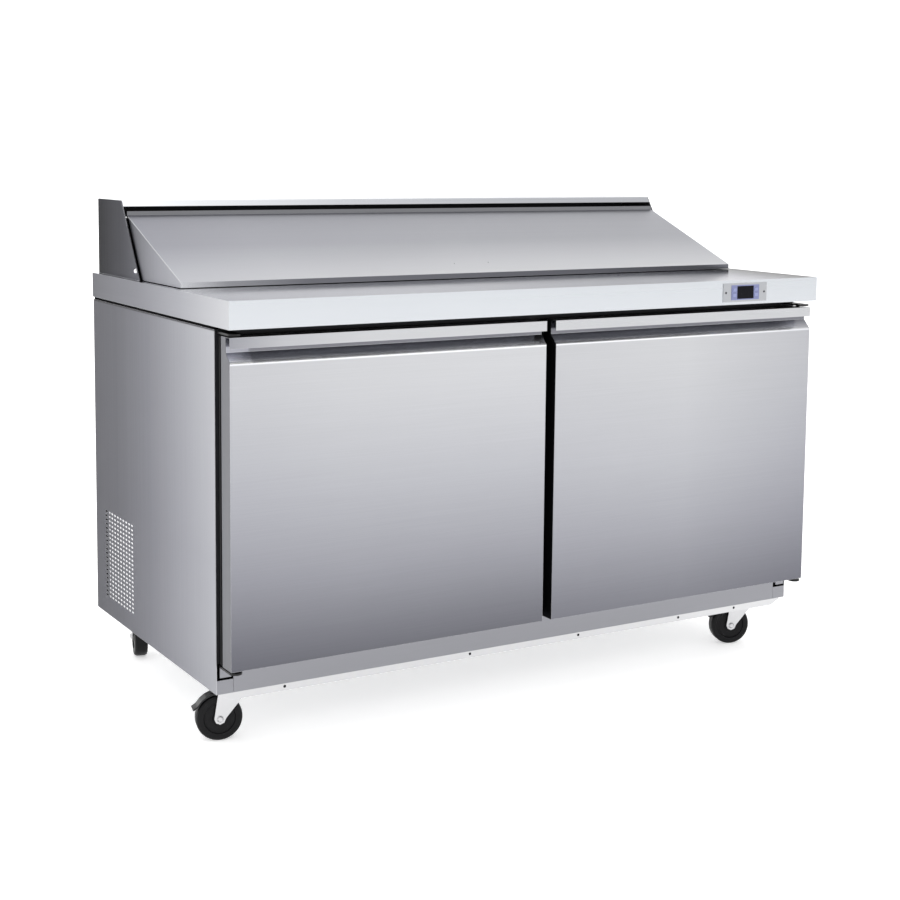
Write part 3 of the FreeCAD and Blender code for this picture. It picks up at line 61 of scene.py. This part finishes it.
class Nodes:
    """A material's node tree, with short calls for the nodes used here."""

    def __init__(self, name):
        self.name = name  # the frame may hold a material of this name already
        self.material = bpy.data.materials.new(name)
        self.material.use_nodes = True
        self.tree = self.material.node_tree
        self.tree.nodes.clear()
        output = self.add("ShaderNodeOutputMaterial")
        self.shader = self.add("ShaderNodeBsdfPrincipled")
        self.link(self.shader.outputs[0], output.inputs[0])
        self.coords = self.add("ShaderNodeTexCoord").outputs["Object"]

    def link(self, source, target):
        self.tree.links.new(source, target)

    def add(self, kind, **settings):
        node = self.tree.nodes.new(kind)
        for key, value in settings.items():
            setattr(node, key, value)
        return node

    def set(self, node, **values):
        """Constants for a node's inputs, with _ for each space in an input's name."""
        for key, value in values.items():
            node.inputs[key.replace("_", " ")].default_value = value

    def stretch(self, scale):
        """Object coordinates scaled along each axis."""
        mapping = self.add("ShaderNodeMapping")
        self.link(self.coords, mapping.inputs["Vector"])
        self.set(mapping, Scale=scale)
        return mapping.outputs[0]

    def noise(self, scale, stretch, detail, roughness):
        node = self.add("ShaderNodeTexNoise")
        self.link(self.stretch(stretch), node.inputs["Vector"])
        self.set(node, Scale=scale, Detail=detail, Roughness=roughness)
        return node.outputs["Fac"]

    def cells(self, scale):
        node = self.add("ShaderNodeTexVoronoi")
        self.link(self.stretch(EVEN), node.inputs["Vector"])
        self.set(node, Scale=scale)
        return node.outputs

    def ramp(self, source, stops):
        """A colour ramp. stops are (place, grey or colour)."""
        node = self.add("ShaderNodeValToRGB")
        self.link(source, node.inputs["Fac"])
        elements = node.color_ramp.elements
        while len(elements) < len(stops):
            elements.new(0.5)
        for element, (place, value) in zip(elements, stops):
            element.position = place
            element.color = (*value, 1) if isinstance(value, tuple) else (value, value, value, 1)
        return node.outputs["Color"]

    def rescale(self, source, low, high, from_low=0.0, from_high=1.0):
        node = self.add("ShaderNodeMapRange")
        self.link(source, node.inputs["Value"])
        self.set(node, From_Min=from_low, From_Max=from_high, To_Min=low, To_Max=high)
        return node.outputs[0]

    def spread(self, source, low=0, high=1):
        """A noise's usual values spread out between low and high."""
        return self.rescale(source, low, high, NOISE_LOW, NOISE_HIGH)

    def along(self, letter, stops):
        """A ramp of steel greys along an axis, for painted shade, highlight and reflection. stops are
        (place in mm, value).
        """
        low, high = stops[0][0], stops[-1][0]
        places = [((place - low) / (high - low), cool(value)) for place, value in stops]
        axes = self.add("ShaderNodeSeparateXYZ")
        self.link(self.coords, axes.inputs[0])
        return self.ramp(self.rescale(axes.outputs[letter], 0, 1, low * MM, high * MM), places)

    def blend(self, factor, first, second, mode="MIX"):
        node = self.add("ShaderNodeMix", data_type="RGBA", blend_type=mode)
        for index, value in ((MIX_FACTOR, factor), (MIX_A, first), (MIX_B, second)):
            if hasattr(value, "is_linked"):
                self.link(value, node.inputs[index])
            else:
                node.inputs[index].default_value = value if index == MIX_FACTOR else (*value, 1)
        return node.outputs[MIX_RESULT]

    def times(self, base, shade):
        return self.blend(1.0, base, shade, "MULTIPLY")

    def bump(self, height, strength, distance):
        node = self.add("ShaderNodeBump")
        self.link(height, node.inputs["Height"])
        self.set(node, Strength=strength, Distance=distance)
        self.link(node.outputs[0], self.shader.inputs["Normal"])

    def edge(self):
        """1 on edges and folds and 0 on flat faces: how far a rounded normal leaves the true one."""
        rounded = self.add("ShaderNodeBevel", samples=2)
        self.set(rounded, Radius=EDGE_RADIUS)
        true = self.add("ShaderNodeNewGeometry")
        dot = self.add("ShaderNodeVectorMath", operation="DOT_PRODUCT")
        self.link(rounded.outputs[0], dot.inputs[0])
        self.link(true.outputs["Normal"], dot.inputs[1])
        return self.rescale(dot.outputs["Value"], 1.0, 0.0, EDGE_DOT, FLAT_DOT)

    def keep(self, base, sheen):
        """Links the colour and the roughness, and lists the material."""
        self.link(base, self.shader.inputs["Base Color"])
        self.link(sheen, self.shader.inputs["Roughness"])
        MATERIALS[self.name] = self.material


def brushed(name, grain, color=PALE, roughness=0.3, streak=0.035, shades=(), anisotropy=0.5, tint=None):
    """Brushed stainless sheet with strokes along its grain.

    shades are (axis, stops in mm) of painted shade and highlight, and multiply the colour; tint is the
    colour at low angles, as a value or as such a pair. Edges and folds are paler: a painted highlight.
    """
    m = Nodes(name)
    fine = m.noise(1100, grain, 3, 0.6)
    coarse = m.noise(160, grain, 3, 0.6)
    cloud = m.noise(2.5, EVEN, 2, 0.5)
    base = m.blend(m.spread(cloud), scaled(color, 0.985), color)
    for letter, stops in shades:
        base = m.times(base, m.along(letter, stops))
    base = m.times(base, m.ramp(fine, [(NOISE_LOW, 1 - streak), (NOISE_HIGH, 1.0)]))
    # Painted highlight: edges and folds are paler than the face.
    base = m.blend(m.edge(), base, capped(scaled(color, 1.1)))
    m.keep(base, m.spread(coarse, roughness - 0.015, roughness + 0.02))
    m.set(m.shader, Metallic=1.0, Anisotropic=anisotropy)
    if isinstance(tint, tuple):
        m.link(m.along(*tint), m.shader.inputs["Specular Tint"])
    elif tint is not None:
        m.set(m.shader, Specular_Tint=(tint, tint, tint, 1))
    m.bump(fine, 0.05, 0.00002)


def zinc(name, color, roughness):
    """Plated steel with faint spangle and handling marks."""
    m = Nodes(name)
    cells = m.cells(260.0)
    cloud = m.noise(25, EVEN, 4, 0.6)
    base = m.blend(m.spread(cloud), scaled(color, 0.96), color)
    base = m.times(base, m.ramp(m.rescale(cells["Color"], 0.9, 1.0), [(0, 0.97), (1, 1.0)]))
    # Painted highlight: edges and folds are paler than the plate.
    base = m.blend(m.edge(), base, capped(scaled(color, 1.2)))
    m.keep(base, m.spread(cloud, roughness - 0.02, roughness + 0.04))
    m.set(m.shader, Metallic=0.95)
    m.bump(cells["Distance"], 0.05, 0.00002)


def moulded(name, color, roughness, grain=700, depth=0.0001, edge_highlight=1.25, gloss=0.5, glow=0.0):
    """Moulded plastic, rubber or paint with a fine surface grain, uneven sheen and paler edges, which
    are a painted highlight.
    """
    m = Nodes(name)
    fine = m.noise(grain, EVEN, 3, 0.6)
    cloud = m.noise(18, EVEN, 4, 0.55)
    base = m.blend(m.spread(cloud), scaled(color, 0.96), color)
    # Painted highlight: edges are paler than the face.
    base = m.blend(m.edge(), base, capped(scaled(color, edge_highlight, 0.01)))
    m.keep(base, m.spread(cloud, roughness - 0.06, roughness + 0.08))
    m.set(m.shader, Specular_IOR_Level=gloss, Emission_Color=WHITE, Emission_Strength=glow)
    m.bump(fine, 0.25, depth)


# The shades and tints stand in for a studio's reflections as one view shows them. They are fixed to
# each face and don't follow the light or the camera.
# Painted highlight: the top 3 mm of each door face is a bright line along its upper edge. The two doors
# carry different painted shade.
brushed("door_face_left", ALONG_X, streak=0.06, shades=[
    ("Z", [(190, 0.24), (240, 0.295), (375, 0.485), (545, 0.70), (770, 0.955), (808, 0.97), (809, 1.6),
           (812, 1.65)]),
    ("X", [(-760, 0.9), (-500, 0.985), (-10, 1.04)])])
brushed("door_face_right", ALONG_X, streak=0.06, shades=[
    ("Z", [(190, 0.32), (240, 0.375), (375, 0.56), (545, 0.77), (770, 0.975), (808, 0.99), (809, 1.6),
           (812, 1.65)]),
    ("X", [(10, 0.94), (380, 0.99), (760, 0.82)])])
# Painted shade: the sides of the doors, the flanks at the centre gap and the front frame are the same
# steel made dark for the shade in the gaps.
brushed("door_edge", ALONG_Z, (0.15, 0.152, 0.165), 0.36)
brushed("gap_edge", ALONG_Z, (0.03, 0.0305, 0.034), 0.42, tint=0.12)
brushed("frame_steel", ALONG_Z, (0.04, 0.0405, 0.044), 0.42, tint=0.15)
brushed("grip_lip", ALONG_X, (0.525, 0.53, 0.545), 0.28, shades=[
    ("X", [(-760, 0.55), (-640, 0.85), (-450, 1.0), (760, 1.0)])])
# Painted highlight and shade: the grip channel is bright at its front fold and darkens towards the back
# of the recess, and its left end is paler.
brushed("grip_channel", ALONG_X, roughness=0.22, shades=[
    ("Y", [(-397.5, 1.8), (-394, 0.85), (-385, 0.55), (-376, 0.3)]),
    ("X", [(-760, 1.9), (-712, 1.7), (-706, 1.0), (760, 1.0)])])
# The dark top 2 mm of the side sheets is a painted shadow that widens the shadow line below the
# worktop.
brushed("side_face", ALONG_Z, roughness=0.34, streak=0.08, tint=0.75, shades=[
    ("Y", [(-332, 0.79), (-180, 0.6), (45, 0.34), (250, 0.2), (409, 0.155)]),
    ("Z", [(127, 0.88), (400, 0.84), (871.6, 1.0), (872.4, 0.12)])])
brushed("band_front", ALONG_X, (0.61, 0.632, 0.662), 0.26, 0.02)
brushed("band_side", ALONG_Y, roughness=0.3, tint=0.8, shades=[
    ("Y", [(-410, 0.91), (-150, 0.57), (100, 0.34), (410, 0.175)])])
# Painted shade: the back of the band is the same steel made darker.
brushed("band_back", ALONG_X, (0.4, 0.405, 0.42), 0.34)
brushed("top_face", ALONG_X, (0.22, 0.222, 0.235), 0.13, anisotropy=0.2, shades=[
    ("X", [(-765, 2.5), (-500, 2.4), (-150, 2.2), (250, 2.0), (600, 1.6), (765, 1.2)])],
    tint=("X", [(-765, 0.92), (-350, 0.9), (0, 0.88), (350, 0.8), (600, 0.4), (765, 0.0)]))
brushed("lid_face", ALONG_X, roughness=0.3, shades=[
    ("Y", [(-110, 0.96), (-60, 0.87), (60, 0.60), (160, 0.55), (217, 0.54), (219, 1.2), (222, 1.3)]),
    ("X", [(-745, 0.74), (-500, 0.9), (0, 1.0), (745, 1.04)])])
brushed("lid_flange", ALONG_X, (0.5, 0.505, 0.52), 0.24, shades=[
    ("X", [(-745, 1.6), (-640, 0.8), (-450, 0.45), (0, 0.4), (745, 0.3)])])
# Painted shade: the rear leaf of the lid is the same steel made darker.
brushed("lid_leaf", ALONG_X, (0.2, 0.202, 0.215), 0.3)
brushed("lid_side", ALONG_Z, roughness=0.32, tint=0.8, shades=[
    ("Y", [(-108, 0.60), (40, 0.42), (215, 0.13)])])
brushed("hood_outer", ALONG_X, (0.60, 0.612, 0.632), 0.28, 0.02, shades=[
    ("X", [(-751, 1.35), (-560, 1.1), (-200, 0.86), (751, 0.82)])])
# Painted shade: the back of the hood and the back sheet are the same steel and plated steel as the
# front and the base pan, made darker.
brushed("hood_back", ALONG_X, (0.4, 0.405, 0.42), 0.34)
zinc("back_sheet", (0.36, 0.365, 0.375), 0.42)
brushed("cheek", ALONG_Z, roughness=0.34, tint=0.6, shades=[
    ("Y", [(128, 0.22), (230, 0.12), (403, 0.03)])])
# Painted shade: the worktop's underside, the hood's inside and other faces in deep shade are the same
# steel made near black.
brushed("dark_inside", ALONG_X, (0.01, 0.01, 0.0115), 0.5, tint=0.04)
brushed("hood_inside", ALONG_X, (0.04, 0.04, 0.0435), 0.5, tint=0.08)
brushed("liner_steel", ALONG_X, (0.5, 0.505, 0.52), 0.3)
brushed("rail_steel", ALONG_X, (0.262, 0.264, 0.284), 0.33)
zinc("galvanised", (0.5, 0.505, 0.515), 0.4)
zinc("zinc_bright", (0.60, 0.60, 0.61), 0.3)
zinc("screw_dark", (0.03, 0.03, 0.033), 0.4)
zinc("screw_steel", (0.9, 0.9, 0.91), 0.16)
zinc("aluminium", (0.76, 0.77, 0.78), 0.35)
moulded("rubber_wheel", (0.006, 0.006, 0.0068), 0.42, 500, 0.00012, 1.6, gloss=0.16)
moulded("rubber_seal", (0.008, 0.008, 0.009), 0.6, 600, 0.0001, 1.6, gloss=0.15)
# The foam in the gap below the worktop is dark; it is made flat black as a painted shadow line.
moulded("gap_black", (0.004, 0.004, 0.0045), 0.8, 400, 0.00008, 1.4, gloss=0.02)
moulded("black_paint", (0.009, 0.009, 0.01), 0.35, 300, 0.00008, 1.8, gloss=0.25)
zinc("bezel", (0.44, 0.45, 0.47), 0.35)
moulded("controller_plastic", (0.19, 0.21, 0.38), 0.4)
moulded("key_plastic", (0.26, 0.29, 0.5), 0.4)
moulded("display", (0.003, 0.003, 0.006), 0.2, 200, 0.00001, gloss=0.1)
moulded("nylon", (0.82, 0.82, 0.78), 0.5)
moulded("door_pan", (0.78, 0.79, 0.81), 0.4, 300)
moulded("fan_plastic", (0.02, 0.02, 0.022), 0.45)
# The sheet behind the air slots gives off light so that the slots read white. A real one doesn't.
moulded("baffle", (0.85, 0.86, 0.88), 0.5, glow=0.9)


# ---------------------------------------------------------------- which face has which finish

# Places in mm that tell a node's faces apart.
WORKTOP_TOP, SKIRT_FRONT, SKIRT_SIDE, SKIRT_BACK = 936, -409.5, 764.5, 409.5
HOOD_TOP, HOOD_BACK, CAP_LOW, CAP_REAR = 1111.5, 402.5, 1098, 245
CHEEK_OUTSIDE, LID_FRONT, LID_LEAF = 750.5, -107.5, 1080
DOOR_FACE, GRIP_FACE, GRIP_TOP, CENTRE_GAP = -396.5, -396, 863, 20
STILE_OUTSIDE, FRONT_SCREWS = 700, -300

FACING = 0.7  # a face looks along an axis when its normal has more than this of it
SLOPING = 0.3
ON_EDGE = 0.5


def upward(c, n):
    return n.z > FACING


def forward(c, n):
    return n.y < -FACING


def sideways(c, n):
    return abs(n.x) > FACING


def door_face(side):
    return lambda c, n: forward(c, n) and c.y < DOOR_FACE and c.x * side > 0


# For each node its finish, and others for the faces that pass a test on centre (mm) and normal.
FINISH = {
    "left_side_panel": ("side_face", []),
    "right_side_panel": ("side_face", []),
    "back_panel": ("back_sheet", []),
    "base_pan": ("galvanised", []),
    "front_frame": ("frame_steel", [
        (lambda c, n: sideways(c, n) and abs(c.x) > STILE_OUTSIDE, "dark_inside"),
    ]),
    "bottom_rail": ("rail_steel", []),
    "rail_end_blocks": ("rail_steel", []),
    "cabinet_foam": ("gap_black", []),
    "inner_liner": ("liner_steel", []),
    "worktop": ("dark_inside", [
        (lambda c, n: upward(c, n) and c.z > WORKTOP_TOP, "top_face"),
        (lambda c, n: forward(c, n) and c.y < SKIRT_FRONT, "band_front"),
        (lambda c, n: sideways(c, n) and abs(c.x) > SKIRT_SIDE, "band_side"),
        (lambda c, n: c.y > SKIRT_BACK, "band_back"),
    ]),
    "pan_rails": ("liner_steel", []),
    "hood_shell": ("hood_inside", [
        (lambda c, n: c.z > HOOD_TOP, "hood_outer"),
        (lambda c, n: c.y > HOOD_BACK, "hood_back"),
        (lambda c, n: n.y < -SLOPING and c.z > CAP_LOW and c.y < CAP_REAR, "hood_outer"),
    ]),
    "hood_cheeks": ("liner_steel", [
        (lambda c, n: abs(c.x) > CHEEK_OUTSIDE or abs(n.x) < ON_EDGE, "cheek"),
    ]),
    "lid_skin": ("liner_steel", [
        (upward, "lid_face"),
        (lambda c, n: forward(c, n) and c.y < LID_FRONT, "lid_flange"),
        (lambda c, n: c.z > LID_LEAF, "lid_leaf"),
    ]),
    "lid_side_plates": ("lid_side", []),
    "lid_core": ("liner_steel", []),
    "lid_hinge_rod": ("screw_steel", []),
    "lid_hinge_ears": ("dark_inside", []),
    "top_hinge_brackets": ("black_paint", []),
    "bottom_hinge_brackets": ("black_paint", []),
    "controller_bezel": ("bezel", []),
    "controller_housing": ("controller_plastic", []),
    "display_window": ("display", []),
    "compressor": ("black_paint", []),
    "condenser_coil": ("aluminium", []),
    "evaporator_coil": ("aluminium", []),
    "condenser_fan": ("fan_plastic", []),
    "evaporator_fan": ("fan_plastic", []),
    "vent_baffles": ("galvanised", [(lambda c, n: sideways(c, n) and n.x * c.x > 0, "baffle")]),
    "wire_shelves": ("screw_steel", []),
    "caster_channels": ("zinc_bright", []),
    "caster_plates": ("zinc_bright", []),
    "cabinet_screws": ("screw_steel", [(lambda c, n: c.y < FRONT_SCREWS, "screw_dark")]),
    "cord_gland": ("rubber_seal", []),
}

# The same for nodes known by the end of their names.
ENDINGS = {
    "_door_skin": ("door_edge", [
        (door_face(-1), "door_face_left"),
        (door_face(1), "door_face_right"),
        (lambda c, n: abs(c.x) < CENTRE_GAP, "gap_edge"),
    ]),
    "_door_handle": ("grip_channel", [
        (lambda c, n: c.z > GRIP_TOP or (forward(c, n) and c.y < GRIP_FACE), "grip_lip"),
        (sideways, "door_edge"),
        (lambda c, n: sideways(c, n) and abs(c.x) < CENTRE_GAP, "gap_edge"),
    ]),
    "_door_foam": ("rubber_seal", []),
    "_door_liner": ("rubber_seal", [(lambda c, n: n.y > FACING, "door_pan")]),
    "_door_gasket": ("rubber_seal", []),
    "_door_bushes": ("nylon", []),
    "_fork": ("zinc_bright", []),
    "_wheel": ("rubber_wheel", []),
    "_brake_lever": ("black_paint", []),
    "_key": ("key_plastic", []),
}


def finish_of(node):
    if node in FINISH:
        return FINISH[node]
    return next(value for ending, value in ENDINGS.items() if node.endswith(ending))


def paint(node, finish, rules):
    """Gives each face the last finish whose test it passes."""
    mesh = node.data
    mesh.materials.clear()
    for key in [finish] + [key for _, key in rules]:
        mesh.materials.append(MATERIALS[key])
    for polygon in mesh.polygons:
        centre = polygon.center / MM
        slot = 0
        for i, (test, _) in enumerate(rules, start=1):
            if test(centre, polygon.normal):
                slot = i
        polygon.material_index = slot


# ---------------------------------------------------------------- rounded edges

BEVEL_SEGMENTS = 2
SHARPEST = math.radians(40)  # edges that turn by more than this are rounded

# Widths in mm, by a node's name or by the end of it.
BEVELS = {
    "worktop": 1.5, "hood_shell": 0.5, "hood_cheeks": 0.6, "lid_skin": 0.5, "lid_side_plates": 0.4,
    "_door_skin": 0.45, "_door_handle": 0.45, "_door_liner": 1.5, "bottom_rail": 0.5,
    "rail_end_blocks": 0.4, "bottom_hinge_brackets": 0.8, "top_hinge_brackets": 0.8,
    "caster_channels": 0.8, "_fork": 0.8, "_brake_lever": 0.6, "controller_bezel": 0.5,
    "controller_housing": 0.8, "_key": 0.5, "cabinet_screws": 0.4,
}


def bevel_width(name):
    return next((width for key, width in BEVELS.items()
                 if name == key or (key[0] == "_" and name.endswith(key))), 0)


def round_edges(node, width):
    bevel = node.modifiers.new("edge", "BEVEL")
    bevel.width = width * MM
    bevel.segments = BEVEL_SEGMENTS
    bevel.limit_method = "ANGLE"
    bevel.angle_limit = SHARPEST
    bevel.harden_normals = True


for name, node in NODES.items():
    paint(node, *finish_of(name))
    if bevel_width(name):
        round_edges(node, bevel_width(name))


# ---------------------------------------------------------------- stage, light and camera

FLOOR_HALF, WALL_PLACE, WALL_HEIGHT = 14.0, 6.3, 7.0
COVE_RADIUS, COVE_STEPS = 2.5, 24
PAPER = (0.92, 0.92, 0.92, 1)
PAPER_GLOW = 0.45
SKY_STRENGTH = 0.95

# Name, place, the point it lights, width of the square and power.
LIGHTS = [
    ("key", (-2.5, -3.5, 5.0), (0, 0, 0.6), 5.0, 70),
    ("top", (0.5, 0.5, 5.5), (0, 0, 0.9), 6.0, 60),
]

EYE = Vector((-1.9869, -3.2964, 1.2244))
YAW, PITCH, ROLL = math.radians(30.797), math.radians(6.236), math.radians(-0.562)
LENS, SENSOR, SHIFT_UP, FAR_CLIP = 64.49, 36.0, -0.1333, 100


def add_object(name, data):
    thing = bpy.data.objects.new(name, data)
    bpy.context.scene.collection.objects.link(thing)
    return thing


def stage():
    """A pale floor that curves up into a wall behind."""
    start = WALL_PLACE - COVE_RADIUS
    profile = [(-FLOOR_HALF, 0.0), (start, 0.0)]
    for i in range(1, COVE_STEPS + 1):
        angle = math.pi / 2 * i / COVE_STEPS
        profile.append((start + COVE_RADIUS * math.sin(angle), COVE_RADIUS * (1 - math.cos(angle))))
    profile.append((WALL_PLACE, WALL_HEIGHT))
    verts = [(x, y, z) for y, z in profile for x in (-FLOOR_HALF, FLOOR_HALF)]
    faces = [(2 * i, 2 * i + 1, 2 * i + 3, 2 * i + 2) for i in range(len(profile) - 1)]
    mesh = bpy.data.meshes.new("floor")
    mesh.from_pydata(verts, [], faces)
    paper = Nodes("paper")
    paper.set(paper.shader, Base_Color=PAPER, Roughness=0.9, Emission_Color=WHITE,
              Emission_Strength=PAPER_GLOW)
    mesh.materials.append(paper.material)
    for polygon in mesh.polygons:
        polygon.use_smooth = True
    add_object("floor", mesh)


def light(name, place, aim, size, power):
    data = bpy.data.lights.new(name, "AREA")
    data.energy = power
    data.shape = "SQUARE"
    data.size = size
    lamp = add_object(name, data)
    lamp.location = place
    lamp.rotation_euler = (Vector(aim) - Vector(place)).to_track_quat("-Z", "Y").to_euler()


def sky():
    world = bpy.data.worlds.new("studio")
    world.use_nodes = True
    background = world.node_tree.nodes["Background"]
    background.inputs["Color"].default_value = WHITE
    background.inputs["Strength"].default_value = SKY_STRENGTH
    bpy.context.scene.world = world


def camera():
    data = bpy.data.cameras.new("camera")
    data.sensor_width = SENSOR
    data.lens = LENS
    data.shift_y = SHIFT_UP
    data.clip_end = FAR_CLIP
    ahead = Vector((math.sin(YAW) * math.cos(PITCH), math.cos(YAW) * math.cos(PITCH), -math.sin(PITCH)))
    level = Vector((math.cos(YAW), -math.sin(YAW), 0))
    below = ahead.cross(level)
    right = level * math.cos(ROLL) + below * math.sin(ROLL)
    down = below * math.cos(ROLL) - level * math.sin(ROLL)
    turn = Matrix((right, -down, -ahead)).transposed()
    eye = add_object("camera", data)
    eye.matrix_world = Matrix.Translation(EYE) @ turn.to_4x4()
    bpy.context.scene.camera = eye


stage()
sky()
for lamp in LIGHTS:
    light(*lamp)
camera()
bpy.context.scene.view_settings.view_transform = "Standard"
